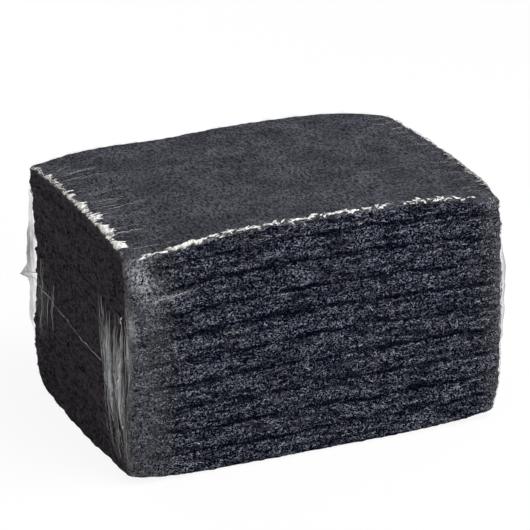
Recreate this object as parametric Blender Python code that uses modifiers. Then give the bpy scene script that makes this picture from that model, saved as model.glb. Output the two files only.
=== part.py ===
# A shrink-wrapped stack of fibre pads for cleaning a grill, standing on its base.
# Metres, +Z up. The origin lies on the floor under the middle of the stack, +X runs along the
# pads' long side, and the smooth side of the film faces -Y.
import math

import bmesh
import bpy
from mathutils import Vector

# Pads, as the film holds them
PAD_COUNT = 10
PAD_LENGTH = 0.1524
PAD_WIDTH = 0.1034
PAD_THICKNESS = 0.00935
PAD_CORNER_RADIUS = 0.003
PAD_RIM_RADIUS = 0.0022
PAD_CLEARANCE = 0.0003

# How the tight film draws the corners of the stack in
TOP_CORNER_DROP = 0.0039
TOP_END_DROP = 0.0022
BASE_CORNER_LIFT = 0.0038
CORNER_REACH = 0.035

# Film
FILM_CLEARANCE = 0.0003
FILM_WALL = 0.0002
FILM_GROOVE_FLOOR = 0.0012  # from the film to the bottom of the groove between two pads

# Weld bead round the ends and the back, lower at the front of each end
SEAM_BELOW_MIDDLE = 0.002
SEAM_FALL = 0.010
SEAM_WIDTH = 0.0014
SEAM_PROUD = 0.0005

# Gathers on the ends: upright pleats beside each corner, which fan out from the weld
PLEAT_PITCH = 0.0050
PLEAT_DEPTH = 0.0013
FRONT_PLEATS = 7
BACK_PLEATS = 3
PLEAT_RISE = 0.026
FAN_FOOT = 0.45

# Film that stands off the back corners, and the pointed ear where the welds meet
FLARE = 0.0027
FLARE_SPAN = 0.066
EAR_LENGTH = 0.0036
EAR_HEIGHT = 0.006

# Vent holes in the back
VENT_RADIUS = 0.0015
VENT_SPACING = 0.070
VENT_ABOVE_SEAM = 0.0215
VENT_SIDES = 16

# Facets
CORNER_STEPS = 2
RIM_STEPS = 2
LENGTH_LOOPS = 4
WIDTH_LOOPS = 3

# Worked out from the values above
SKIN_OFFSET = FILM_CLEARANCE + FILM_WALL
PAD_RISE = PAD_THICKNESS + PAD_CLEARANCE
STACK_HEIGHT = PAD_COUNT * PAD_RISE - PAD_CLEARANCE
FLAT_HALF_LENGTH = PAD_LENGTH / 2 - PAD_CORNER_RADIUS
FLAT_HALF_WIDTH = PAD_WIDTH / 2 - PAD_CORNER_RADIUS
SEAM_HEIGHT = STACK_HEIGHT / 2 - SEAM_BELOW_MIDDLE
GROOVE_HALF_WIDTH = PAD_RIM_RADIUS + SKIN_OFFSET
FILM_SAG = PAD_RIM_RADIUS - FILM_GROOVE_FLOOR


def clear_scene():
    for obj in list(bpy.data.objects):
        bpy.data.objects.remove(obj, do_unlink=True)


def new_collection(name):
    collection = bpy.data.collections.new(name)
    bpy.context.scene.collection.children.link(collection)
    return collection


def material(name, colour, roughness, metallic=0.0, alpha=1.0):
    made = bpy.data.materials.new(name)
    made.use_nodes = True
    shader = made.node_tree.nodes["Principled BSDF"]
    shader.inputs["Base Color"].default_value = (*colour, 1.0)
    shader.inputs["Roughness"].default_value = roughness
    shader.inputs["Metallic"].default_value = metallic
    shader.inputs["Alpha"].default_value = alpha
    return made


def ramp(value, start, end):
    # 0 before start, 1 after end, with a smooth rise between them
    share = min(max((value - start) / (end - start), 0.0), 1.0)
    return share * share * (3.0 - 2.0 * share)


def corner_pull(x, y):
    # 1 at an upright corner of the stack, 0 from CORNER_REACH away from it
    from_end = max(PAD_LENGTH / 2 - abs(x), 0.0)
    from_side = max(PAD_WIDTH / 2 - abs(y), 0.0)
    return max(1.0 - math.hypot(from_end, from_side) / CORNER_REACH, 0.0) ** 2


def pressed(x, y, height):
    # Moves a point of the relaxed, square stack to its place in the tight pack
    pull = corner_pull(x, y)
    lift = BASE_CORNER_LIFT * pull
    drop = TOP_CORNER_DROP * pull + TOP_END_DROP * (2 * x / PAD_LENGTH) ** 2
    squeeze = (STACK_HEIGHT - lift - drop) / STACK_HEIGHT
    return Vector((x, y, SKIN_OFFSET + lift + height * squeeze))


def loop_places(flat_half, count):
    # Places of the cross loops along one side, closer together towards the corners
    return [flat_half * math.sin(math.pi / 2 * step / count) for step in range(1 - count, count)]


def cut_faces(block, place, direction, wanted):
    # Adds a loop where a plane crosses the wanted faces
    faces = [face for face in block.faces if wanted(face)]
    edges = {edge for face in faces for edge in face.edges}
    verts = {vert for face in faces for vert in face.verts}
    bmesh.ops.bisect_plane(
        block, geom=faces + list(edges) + list(verts), dist=1e-6, plane_co=place, plane_no=direction)


def any_face(face):
    return True


def on_front_or_back(face):
    return abs(face.normal.y) > 0.99


def on_end(face):
    return abs(face.normal.x) > 0.99


def on_back(face):
    return face.normal.y > 0.99 or (abs(face.normal.z) < 0.01 and face.normal.y > 0.1)


def upright_face(face):
    return abs(face.normal.z) < 0.01


def upright_beside_ends(face):
    return upright_face(face) and not on_end(face)


def relaxed_block(offset, height):
    # A slab with round corners and rims, on z = 0, that stands offset outside the pads' outline
    block = bmesh.new()
    bmesh.ops.create_cube(block, size=1.0)
    size = Vector((PAD_LENGTH + 2 * offset, PAD_WIDTH + 2 * offset, height))
    bmesh.ops.scale(block, vec=size, verts=block.verts)
    bmesh.ops.translate(block, vec=(0.0, 0.0, height / 2), verts=block.verts)
    corners = [edge for edge in block.edges if edge.verts[0].co.xy == edge.verts[1].co.xy]
    bmesh.ops.bevel(
        block, geom=corners, offset=PAD_CORNER_RADIUS + offset, offset_type="OFFSET",
        segments=CORNER_STEPS, profile=0.5, affect="EDGES")
    rims = [edge for edge in block.edges if edge.verts[0].co.z == edge.verts[1].co.z]
    bmesh.ops.bevel(
        block, geom=rims, offset=PAD_RIM_RADIUS + offset, offset_type="OFFSET",
        segments=RIM_STEPS, profile=0.5, affect="EDGES")
    for place in loop_places(FLAT_HALF_LENGTH, LENGTH_LOOPS):
        cut_faces(block, (place, 0.0, 0.0), (1.0, 0.0, 0.0), any_face)
    for place in loop_places(FLAT_HALF_WIDTH, WIDTH_LOOPS):
        cut_faces(block, (0.0, place, 0.0), (0.0, 1.0, 0.0), any_face)
    return block


def add_object(name, block, made_of, collection):
    # Facets are split the same way on every layer, so that the clearances stay even
    bmesh.ops.triangulate(block, faces=block.faces, quad_method="SHORT_EDGE", ngon_method="BEAUTY")
    bmesh.ops.recalc_face_normals(block, faces=block.faces)
    mesh = bpy.data.meshes.new(name)
    block.to_mesh(mesh)
    block.free()
    mesh.shade_smooth()
    mesh.materials.append(made_of)
    obj = bpy.data.objects.new(name, mesh)
    collection.objects.link(obj)
    return obj


def make_pad(number, made_of, collection):
    block = relaxed_block(0.0, PAD_THICKNESS)
    foot = (number - 1) * PAD_RISE
    for vert in block.verts:
        vert.co = pressed(vert.co.x, vert.co.y, foot + vert.co.z)
    return add_object(f"pad_{number:02d}", block, made_of, collection)


def joint_heights():
    return [number * PAD_RISE - PAD_CLEARANCE / 2 for number in range(1, PAD_COUNT)]


def seam_level(y):
    # Height of the weld bead: level round the back, and falling along each end to the front
    along = min(max((FLAT_HALF_WIDTH - y) / (2 * FLAT_HALF_WIDTH), 0.0), 1.0)
    return SEAM_HEIGHT - SEAM_FALL * along


def add_film_loops(skin):
    for number, height in enumerate(joint_heights()):
        wanted = upright_face if number % 2 == 0 else upright_beside_ends
        cut_faces(skin, (0.0, 0.0, height), (0.0, 0.0, 1.0), wanted)
        cut_faces(skin, (0.0, 0.0, height - GROOVE_HALF_WIDTH), (0.0, 0.0, 1.0), on_front_or_back)
        cut_faces(skin, (0.0, 0.0, height + GROOVE_HALF_WIDTH), (0.0, 0.0, 1.0), on_front_or_back)
    for step in range(1, 2 * FRONT_PLEATS + 1):
        place = step * PLEAT_PITCH / 2 - FLAT_HALF_WIDTH
        cut_faces(skin, (0.0, place, 0.0), (0.0, 1.0, 0.0), on_end)
    for step in range(1, 2 * BACK_PLEATS + 1):
        place = FLAT_HALF_WIDTH - step * PLEAT_PITCH / 2
        cut_faces(skin, (0.0, place, 0.0), (0.0, 1.0, 0.0), on_end)
    along_end = Vector((0.0, 2 * FLAT_HALF_WIDTH, SEAM_FALL)).normalized()
    for side in (-1, 0, 1):
        level = SEAM_HEIGHT + side * SEAM_WIDTH / 2
        cut_faces(skin, (0.0, FLAT_HALF_WIDTH, level), (0.0, -along_end.z, along_end.y), on_end)
        cut_faces(skin, (0.0, 0.0, level), (0.0, 0.0, 1.0), on_back)


def bead(x, y, height):
    # 1 on the crest of the weld bead, 0 beside it and where the front gathers swallow it
    crest = 1.0 - min(2 * abs(height - seam_level(y)) / SEAM_WIDTH, 1.0)
    return crest * ramp(y, -FLAT_HALF_WIDTH, -FLAT_HALF_WIDTH + FRONT_PLEATS * PLEAT_PITCH)


def pleat(from_corner, count, height, foot):
    # Height of the pleats, which are tallest at the weld and die away above and below it
    if from_corner <= 0.0 or from_corner >= count * PLEAT_PITCH:
        return 0.0
    wave = 0.5 - 0.5 * math.cos(2 * math.pi * from_corner / PLEAT_PITCH)
    level = seam_level(-FLAT_HALF_WIDTH)
    above = 1.0 - ramp(height, level, level + PLEAT_RISE)
    below = ramp(height, foot, level)
    return PLEAT_DEPTH * wave * above * below


def fanned(from_corner, height):
    # Draws the foot of the front pleats in towards the lower corner
    zone = 2 * FRONT_PLEATS * PLEAT_PITCH
    if from_corner <= 0.0 or from_corner >= zone:
        return from_corner
    level = seam_level(-FLAT_HALF_WIDTH)
    draw = (1.0 - FAN_FOOT) * (1.0 - ramp(height, level / 2, level)) * ramp(height, PAD_RIM_RADIUS, level / 2)
    return from_corner * (1.0 - draw * (1.0 - from_corner / zone))


def lens(height, middle, span):
    # 1 at the middle of the span, falling smoothly to 0 at its ends
    away = min(abs(height - middle) / (span / 2), 1.0)
    return math.cos(math.pi / 2 * away) ** 2


def shaped(vert):
    # Gives one point of the relaxed skin its bead, pleat, sag, flare or ear
    x, y, height = vert.co
    side = math.copysign(1.0, x)
    past_end = abs(x) - FLAT_HALF_LENGTH
    past_side = abs(y) - FLAT_HALF_WIDTH
    upright = PAD_RIM_RADIUS <= height <= STACK_HEIGHT - PAD_RIM_RADIUS
    if not upright:
        return pressed(x, y, height)
    if past_side <= 1e-6 < past_end:
        from_front = FLAT_HALF_WIDTH + y
        from_back = FLAT_HALF_WIDTH - y
        out = pleat(from_front, FRONT_PLEATS, height, 0.0)
        out += pleat(from_back, BACK_PLEATS, height, seam_level(0.0) - PLEAT_RISE)
        out += SEAM_PROUD * bead(x, y, height)
        y = fanned(from_front, height) - FLAT_HALF_WIDTH
        return pressed(x, y, height) + Vector((side * out, 0.0, 0.0))
    if past_end <= 1e-6:
        from_joint = min(abs(height - joint) for joint in joint_heights())
        inward = FILM_SAG * max(1.0 - from_joint / GROOVE_HALF_WIDTH, 0.0)
        inward *= ramp(FLAT_HALF_LENGTH - abs(x), 0.0, GROOVE_HALF_WIDTH)
        out = SEAM_PROUD * bead(x, y, height) if y > 0.0 else 0.0
        return pressed(x, y, height) + Vector((0.0, math.copysign(out - inward, y), 0.0))
    out = Vector((side, math.copysign(1.0, y), 0.0)).normalized()
    reach = SEAM_PROUD * bead(x, y, height)
    if y > 0.0:
        reach = FLARE * lens(height, SEAM_HEIGHT, FLARE_SPAN)
        reach += EAR_LENGTH * max(1.0 - 2 * abs(height - SEAM_HEIGHT) / EAR_HEIGHT, 0.0)
    return pressed(x, y, height) + out * reach


def vent_punch(number, side, cutters):
    bpy.ops.mesh.primitive_cylinder_add(
        vertices=VENT_SIDES, radius=VENT_RADIUS, depth=4 * SKIN_OFFSET,
        location=(side * VENT_SPACING / 2, PAD_WIDTH / 2 + SKIN_OFFSET, SEAM_HEIGHT + VENT_ABOVE_SEAM),
        rotation=(math.pi / 2, 0.0, 0.0))
    punch = bpy.context.object
    punch.name = f"vent_punch_{number}"
    punch.hide_render = True
    punch.display_type = "WIRE"
    for collection in list(punch.users_collection):
        collection.objects.unlink(punch)
    cutters.objects.link(punch)
    return punch


def make_film(made_of, collection, cutters):
    skin = relaxed_block(SKIN_OFFSET, STACK_HEIGHT + 2 * SKIN_OFFSET)
    bmesh.ops.translate(skin, vec=(0.0, 0.0, -SKIN_OFFSET), verts=skin.verts)
    add_film_loops(skin)
    places = [shaped(vert) for vert in skin.verts]
    for vert, place in zip(skin.verts, places):
        vert.co = place
    film = add_object("shrink_wrap", skin, made_of, collection)
    wall = film.modifiers.new("wall", "SOLIDIFY")
    wall.thickness = FILM_WALL
    wall.offset = -1.0
    for number, side in enumerate((-1, 1), start=1):
        vent = film.modifiers.new(f"vent_{number}", "BOOLEAN")
        vent.operation = "DIFFERENCE"
        vent.solver = "EXACT"
        vent.object = vent_punch(number, side, cutters)
    return film


clear_scene()
pack = new_collection("grill_pad_pack")
punches = new_collection("cutters")
fibre = material("black_fibre", (0.035, 0.037, 0.045), 0.95)
clear_film = material("clear_film", (0.9, 0.92, 0.95), 0.12, alpha=0.2)
for pad_number in range(1, PAD_COUNT + 1):
    make_pad(pad_number, fibre, pack)
make_film(clear_film, pack, punches)
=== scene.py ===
import math

import bpy
import numpy as np
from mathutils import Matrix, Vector


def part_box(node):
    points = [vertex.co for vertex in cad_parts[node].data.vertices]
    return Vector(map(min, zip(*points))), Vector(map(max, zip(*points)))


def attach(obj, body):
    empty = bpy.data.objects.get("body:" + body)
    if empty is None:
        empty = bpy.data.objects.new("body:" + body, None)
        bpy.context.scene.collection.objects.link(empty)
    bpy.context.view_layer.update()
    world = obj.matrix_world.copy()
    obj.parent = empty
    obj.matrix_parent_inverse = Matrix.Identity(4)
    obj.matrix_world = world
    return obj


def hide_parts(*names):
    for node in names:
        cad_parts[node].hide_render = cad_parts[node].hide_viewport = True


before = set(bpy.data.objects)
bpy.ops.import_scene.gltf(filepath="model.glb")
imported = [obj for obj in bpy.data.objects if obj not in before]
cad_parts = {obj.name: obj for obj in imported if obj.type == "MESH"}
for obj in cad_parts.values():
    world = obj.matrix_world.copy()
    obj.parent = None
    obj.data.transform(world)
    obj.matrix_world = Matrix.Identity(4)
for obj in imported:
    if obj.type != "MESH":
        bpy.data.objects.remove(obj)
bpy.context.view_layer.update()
print("frame: packed model loaded")

# The stack as the film holds it. Lengths are in metres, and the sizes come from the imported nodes.
# A soft rise or dip is given by its middle, its size and its height.
stack = {
    "clearance": 0.0003,  # between two pads, and between the pads and the film
    "skinOffset": 0.0005,  # from the pads to the outside of the film
    "cornerRadius": 0.003,
    "rimRadius": 0.0022,
    "footRim": 0.0012,  # rim radius round the underside
    "cornerReach": 0.035,  # of the pull at the upright corners
    "topDrop": 0.0039,
    "calmShare": 0.68,  # of that drop, at the back left corner
    "endDrop": 0.0022,
    "baseLift": 0.0038,
    "frontShare": 0.6,  # of that lift, at the front corners
    "leftLift": (0.02, 0.014, 0.0018),  # of the left end's foot, under the gathers
    "rightLift": (0.0005, 0.02, 0.055),  # rise of the front's foot, and where it begins and ends
    "backDrop": (-0.02, 0.022, 0.0012),  # dips of the top's edges
    "rightDrop": (0.022, 0.016, 0.0012),
    "frontDrop": (-0.056, 0.017, 0.0016),
    "bulge": (0.0012, 0.0021),  # of the front corners, left inward and right outward
    "bulgeMiddle": 1.04,  # in half heights
    "bulgeReach": (0.034, 0.08),  # along the front and along the ends
    "footSwell": (0.012, 0.045, 0.0012),  # of the right front corner: between two heights, and how far
    "crown": (0.01, 0.02, 0.0004),  # of the upper back left corner: length, width and depth
    "footRound": (0.013, 0.012, 0.0012),  # of the corners' feet: reach, height and depth
    "softDepth": 0.0003,  # slow unevenness of all the sides
    "softSize": 0.0075,
}
quarter = math.pi / 2
padNames = sorted(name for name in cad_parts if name.startswith("pad_"))
halfLength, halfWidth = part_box(padNames[0])[1][:2]
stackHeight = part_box("shrink_wrap")[1][2] - 2 * stack["skinOffset"]
padRise = (stackHeight + stack["clearance"]) / len(padNames)
padThick = padRise - stack["clearance"]
flatX = halfLength - stack["cornerRadius"]
flatY = halfWidth - stack["cornerRadius"]


def clamp(value, low=0.0, high=1.0):
    return np.minimum(np.maximum(value, low), high)


def ramp(value, start, end):
    share = clamp((value - start) / (end - start))
    return share * share * (3 - 2 * share)


def hump(value, middle, size, height=1.0):
    return height * np.exp(-((value - middle) / size) ** 2)


def withHeight(plan, height):
    # places or directions with a third coordinate put on
    return np.concatenate([plan, np.broadcast_to(height, plan.shape[:-1])[..., None]], -1)


def unit(vectors):
    return vectors / (np.linalg.norm(vectors, axis=-1, keepdims=True) + 1e-12)


def waveNoise(points, size, seed, waves=28):
    # smooth noise about 1 high, whose lumps are about one size across
    draw = np.random.default_rng(seed)
    heading = unit(draw.normal(size=(waves, points.shape[-1])))
    heading *= 2 * math.pi / size * draw.uniform(0.55, 1.5, (waves, 1))
    phase = draw.uniform(0, 2 * math.pi, waves)
    return np.sin(points @ heading.T + phase).sum(-1) / math.sqrt(waves)


def nearCorner(x, y, reach):
    # 1 at the upright corners and 0 from this reach on
    return clamp(1 - np.hypot(halfLength - np.abs(x), halfWidth - y) / reach)


def pressed(x, y, height):
    # z of a point of the relaxed, square stack once the film has drawn its corners in
    inLength, inWidth = np.minimum(np.abs(x), halfLength), np.minimum(np.abs(y), halfWidth)
    pull = nearCorner(inLength, inWidth, stack["cornerReach"]) ** 2
    toFront, toBack = ramp(-y, 0, halfWidth), ramp(y, 0, halfWidth)
    rise, begin, end = stack["rightLift"]
    lift = stack["baseLift"] * pull * np.where(y < 0, stack["frontShare"], 1.0)
    lift += hump(y + halfWidth, *stack["leftLift"]) * ramp(-x, 0.6 * halfLength, halfLength)
    lift += rise * ramp(x, begin, end) * toFront
    drop = stack["topDrop"] * pull * np.where((x < 0) & (y > 0), stack["calmShare"], 1.0)
    drop += stack["endDrop"] * (x / halfLength) ** 2 + hump(x, *stack["backDrop"]) * toBack
    drop += hump(y, *stack["rightDrop"]) * ramp(x, 0.3 * halfLength, halfLength)
    drop += hump(x, *stack["frontDrop"]) * toFront
    return stack["skinOffset"] + lift + height * (stackHeight - lift - drop) / stackHeight


# The outline from above, walked anticlockwise from the front left corner: the middle of the corner
# radius and the outward angle both run evenly between these stops.
arcLength = stack["cornerRadius"] * quarter
outlineStops = np.cumsum([0] + [2 * flatX, arcLength, 2 * flatY, arcLength] * 2)
outlineX = np.array([-1, 1, 1, 1, 1, -1, -1, -1, -1]) * flatX
outlineY = np.array([-1, -1, -1, 1, 1, 1, 1, -1, -1]) * flatY
outlineAngle = np.array([-1, -1, 0, 0, 1, 1, 2, 2, 3]) * quarter
outlineLength = outlineStops[-1]


def outlineAt(along):
    x, y, angle = (np.interp(np.mod(along, outlineLength), outlineStops, values)
                   for values in (outlineX, outlineY, outlineAngle))
    return np.stack([x, y], -1), np.stack([np.cos(angle), np.sin(angle)], -1)


def linked(name, data):
    made = bpy.data.objects.new(name, data)
    bpy.context.scene.collection.objects.link(made)
    return made


def newObject(name, points, faces, smooth=True):
    mesh = bpy.data.meshes.new(name)
    mesh.from_pydata(points.tolist(), [], faces)
    mesh.update()
    if smooth:
        mesh.shade_smooth()
    return linked(name, mesh)


def ringQuads(rows, columns):
    # quads between neighbouring rings
    return [(low + here, low + after, low + columns + after, low + columns + here)
            for low in range(0, (rows - 1) * columns, columns)
            for here, after in zip(range(columns), [*range(1, columns), 0])]


def ringFaces(rows, columns):
    # the quads, and a fan on each end ring's pole
    faces, last, pole = ringQuads(rows, columns), (rows - 1) * columns, rows * columns
    for here in range(columns):
        after = (here + 1) % columns
        faces += [(after, here, pole), (last + here, last + after, pole + 1)]
    return faces


def slabProfile(low, high, rims, rimSteps, sideSteps, capSteps):
    # From the middle of the underside to the middle of the top: how much of the outline a ring
    # keeps, its inset, its height and the tilt of its outward direction.
    cap = np.linspace(0, 1, capSteps + 1)[1:-1] ** 0.8
    turn = np.append(np.full(len(cap), -quarter), np.linspace(-quarter, 0, rimSteps + 1))
    climb = np.linspace(0, 1, sideSteps + 1)[1:-1]
    share = np.concatenate([cap, np.ones(2 * rimSteps + 2 + len(climb)), cap[::-1]])
    tilt = np.concatenate([turn, 0 * climb, -turn[::-1]])
    lowRim, highRim = rims
    inset = np.where(tilt < 0, lowRim, highRim) * (1 - np.cos(tilt))
    height = np.concatenate([low + lowRim * (1 + np.sin(turn)),
                             low + lowRim + climb * (high - low - lowRim - highRim),
                             high - highRim * (1 + np.sin(turn[::-1]))])
    return share, inset, height, tilt


def slabGrid(along, profile, radius):
    # places and outward directions of a slab's rings, before anything is pressed or roughened
    share, inset, height, tilt = (values[:, None] for values in profile)
    centre, facing = outlineAt(along)
    plan = (centre + facing * (radius - inset[..., None])) * share[..., None]
    return withHeight(plan, height), withHeight(np.cos(tilt)[..., None] * facing, np.sin(tilt))


def settled(points):
    # points of the relaxed stack in their places in the tight pack, with its swollen front corners
    x, y, height = np.moveaxis(points, -1, 0)
    lens = np.cos(quarter * clamp(np.abs(2 * height / stackHeight - stack["bulgeMiddle"]))) ** 1.4
    low, high, swell = stack["footSwell"]
    alongFront, alongEnd = stack["bulgeReach"]
    shift = np.where(x < 0, *stack["bulge"]) * lens + swell * (x > 0) * ramp(-height, -high, -low)
    shift *= ramp(np.abs(x), halfLength - alongFront, halfLength)
    shift *= clamp(1 - (y + halfWidth) / alongEnd)
    length, width, out = stack["crown"]
    crown = ramp(height, 0.8 * stackHeight, 0.97 * stackHeight) * ramp(y, halfWidth - width, halfWidth)
    shift -= out * crown * (x < 0) * ramp(-x, halfLength - length, halfLength)
    reach, rise, inward = stack["footRound"]
    drawn = inward * nearCorner(x, np.abs(y), reach) ** 1.2 * clamp(1 - height / rise, 0, 1.1) ** 2
    return np.stack([x + shift - np.sign(x) * drawn, y - np.sign(y) * drawn, pressed(x, y, height)], -1)


def softSwell(points):
    return stack["softDepth"] * waveNoise(points, stack["softSize"], 3)


def closeRings(grid):
    # all the rings' points in one list, with a pole under the first and over the last
    return np.concatenate([grid.reshape(-1, 3), grid[[0, -1]].mean(1)])


def withPoles(values, shape, top=0.0):
    # a value for each of the rings' points, and one for each pole
    return np.append(np.broadcast_to(values, shape), (0.0, top))


# Shader helpers
def newMaterial(name):
    made = bpy.data.materials.new(name)
    made.use_nodes = True
    made.node_tree.nodes.clear()
    return made, made.node_tree


def addNode(tree, kind, given=None, **settings):
    # a node with its settings, and a link or a value for each socket given
    node = tree.nodes.new("ShaderNode" + kind)
    for name, value in settings.items():
        setattr(node, name, value)
    for socket, value in (given or {}).items():
        if hasattr(value, "links"):
            tree.links.new(value, node.inputs[socket])
        else:
            node.inputs[socket].default_value = value
    return node


def mathNode(tree, operation, *values, limit=False):
    return addNode(tree, "Math", dict(enumerate(values)), operation=operation, use_clamp=limit).outputs[0]


def times(tree, first, second, limit=False):
    return mathNode(tree, "MULTIPLY", first, second, limit=limit)


def rangeNode(tree, value, low, high, toLow=0.0, toHigh=1.0):
    given = {"Value": value, "From Min": low, "From Max": high, "To Min": toLow, "To Max": toHigh}
    return addNode(tree, "MapRange", given, interpolation_type="SMOOTHSTEP").outputs["Result"]


def mixColour(tree, share, first, second):
    first, second = (value if hasattr(value, "links") else (*value, 1.0) for value in (first, second))
    return addNode(tree, "Mix", {0: share, 6: first, 7: second}, data_type="RGBA").outputs[2]


def noiseNode(tree, vector, scale, detail=2.0, roughness=0.5, distortion=0.0):
    given = {"Vector": vector, "Scale": scale, "Detail": detail, "Roughness": roughness,
             "Distortion": distortion}
    return addNode(tree, "TexNoise", given).outputs["Fac"]


def fieldNode(tree, name):
    return addNode(tree, "Attribute", attribute_name=name).outputs["Fac"]


def placeNode(tree):
    return addNode(tree, "TexCoord").outputs["Object"]


def mapped(tree, vector, scale=(1, 1, 1), turn=(0, 0, 0), shift=(0, 0, 0)):
    given = {"Vector": vector, "Scale": scale, "Rotation": turn, "Location": shift}
    return addNode(tree, "Mapping", given).outputs["Vector"]


def bumpNode(tree, height, strength, distance):
    return addNode(tree, "Bump", {"Height": height, "Strength": strength, "Distance": distance}).outputs[0]


webLook = {
    "inputs": {"Fineness": 600.0, "Flatten": 1.8, "Line Width": 0.15},
    "layers": ((1.0, 1.0), (0.85, 1.3), (0.7, 0.8)),  # strength and fineness of each depth of fibres
    "layerTurn": (0.15, 0.12, 0.9),
    "layerShift": (3.7, 1.9, 5.3),
    "distortion": 0.5,
    "lineEdge": (1.0, 0.35),
    "gaps": (0.53, 0.6),
    "gapFineness": 1.3,  # to that of the fibres
    "grain": (1300.0, 2.0, 0.7),  # scale, detail and roughness
    "nap": ((1.25, 0.62, 1.0), 980.0, 2.5, 0.75),  # stretch, scale, detail and roughness
    "felt": ((1.0, 0.42, 0.8), 860.0, 3.0, 0.7),
    "bands": ((0.35, 0.35, 2.6), 230.0, 3.0, 0.62),
    "bandHeight": 0.8,
}


def fibreWebGroup(look):
    # Curly fibres at several depths: contour lines of noise, cut into short lengths
    tree = bpy.data.node_groups.new("fibreWeb", "ShaderNodeTree")
    for name, value in look["inputs"].items():
        socket = tree.interface.new_socket(name, in_out="INPUT", socket_type="NodeSocketFloat")
        socket.default_value = value
    for name in ("Lines", "Height", "Grain", "Nap", "Felt", "Bands"):
        tree.interface.new_socket(name, in_out="OUTPUT", socket_type="NodeSocketFloat")
    given = tree.nodes.new("NodeGroupInput").outputs
    result = tree.nodes.new("NodeGroupOutput").inputs
    place = placeNode(tree)
    parts = addNode(tree, "SeparateXYZ", {0: place}).outputs
    deep = times(tree, parts["Z"], given["Flatten"])
    flat = addNode(tree, "CombineXYZ", {"X": parts["X"], "Y": parts["Y"], "Z": deep}).outputs[0]
    lines = None
    for layer, (strength, size) in enumerate(look["layers"]):
        turn, shift = ([layer * part for part in look[key]] for key in ("layerTurn", "layerShift"))
        moved = mapped(tree, flat, turn=turn, shift=shift)
        scale = times(tree, given["Fineness"], size)
        noise = noiseNode(tree, moved, scale, 1.0, distortion=look["distortion"])
        away = mathNode(tree, "ABSOLUTE", mathNode(tree, "SUBTRACT", noise, 0.5))
        line = rangeNode(tree, mathNode(tree, "DIVIDE", away, given["Line Width"]), *look["lineEdge"])
        gap = noiseNode(tree, moved, times(tree, scale, look["gapFineness"]), 0.0)
        line = times(tree, line, rangeNode(tree, gap, *look["gaps"], 0.0, strength))
        lines = line if lines is None else mathNode(tree, "MAXIMUM", lines, line)
    links = {"Lines": lines, "Grain": noiseNode(tree, flat, *look["grain"])}
    for name in ("Nap", "Felt", "Bands"):
        stretch, *spread = look[name.lower()]
        links[name] = noiseNode(tree, mapped(tree, place, stretch), *spread)
    links["Height"] = mathNode(tree, "MULTIPLY_ADD", links["Bands"], look["bandHeight"], lines)
    for name, value in links.items():
        tree.links.new(value, result[name])
    return tree


fibreWeb = fibreWebGroup(webLook)

fibreLook = {
    "dark": (0.001, 0.0018, 0.008),
    "light": (0.308, 0.323, 0.392),
    # the ends' colours: their smoother felt, and partly painted shade, darker and warmer than the front
    "endDark": (0.018, 0.0152, 0.0186),
    "endLight": (0.092, 0.079, 0.094),
    # the top's colours: the felt's own nap, and a painted reflection, a grey veil for the film's sheen
    "topDark": (0.008, 0.008, 0.01),
    "topLight": (0.162, 0.166, 0.203),
    "web": {"Fineness": 860.0, "Flatten": 1.5, "Line Width": 0.1},
    "bands": (0.38, 0.63, 0.2, 1.0),
    "specks": (0.45, 0.6, 0.0, 2.1),
    "joints": (0.0, 0.48, 0.17, 1.0),  # painted shade: darker between two pads
    "jointFray": 0.7,
    "endFelt": (0.26, 0.74, 0.0, 0.66),
    "topNap": (0.34, 0.66, 0.0, 0.56),
    "topLines": 0.14,  # how clear single fibres are on the top
    "topBands": (0.3, 0.7, 0.65, 1.25),
    "bump": (0.8, 0.0003),  # strength and height
    "roughness": 0.9,
}


def showSurface(tree, shader):
    addNode(tree, "OutputMaterial", {"Surface": shader.outputs[0]})


def matMaterial(name, look):
    made, tree = newMaterial(name)
    web = addNode(tree, "Group", look["web"], node_tree=fibreWeb).outputs
    lines, grain, bands = (web[name] for name in ("Lines", "Grain", "Bands"))
    share = times(tree, lines, rangeNode(tree, bands, *look["bands"]))
    share = times(tree, share, rangeNode(tree, grain, *look["specks"]))
    # painted light and shade: the swell field, frayed by bands and grain, shades the joints between pads and
    # lightens each pad's upper part as if lit from above
    deep = mathNode(tree, "ADD", fieldNode(tree, "swell"), mathNode(tree, "SUBTRACT", bands, 0.5))
    deep = mathNode(tree, "MULTIPLY_ADD", mathNode(tree, "SUBTRACT", grain, 0.5), look["jointFray"], deep)
    share = times(tree, share, rangeNode(tree, deep, *look["joints"]))
    front = mixColour(tree, share, look["dark"], look["light"])
    # the ends: smoother felt, made darker and warmer partly as painted shade
    end = mixColour(tree, rangeNode(tree, web["Felt"], *look["endFelt"]), look["endDark"], look["endLight"])
    # the top: felt nap and fibres, lifted to grey as painted reflection of the film's sheen
    nap = rangeNode(tree, web["Nap"], *look["topNap"])
    top = mathNode(tree, "MULTIPLY_ADD", lines, look["topLines"], nap)
    top = times(tree, top, rangeNode(tree, bands, *look["topBands"]))
    top = mixColour(tree, top, look["topDark"], look["topLight"])
    colour = mixColour(tree, fieldNode(tree, "endFace"), front, end)
    colour = mixColour(tree, fieldNode(tree, "topFace"), colour, top)
    showSurface(tree, addNode(tree, "BsdfPrincipled", {
        "Base Color": colour,
        "Normal": bumpNode(tree, web["Height"], *look["bump"]),
        "Roughness": look["roughness"],
        "Specular IOR Level": 0.0,
    }))
    return made


strandLook = {
    "dark": fibreLook["dark"],
    "light": (0.82, 0.85, 0.95),
    "bands": fibreLook["bands"],
    "grainScale": 2200.0,
    "grain": (0.25, 0.75, 0.4, 1.3),
    "roughness": 0.7,
}


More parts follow.
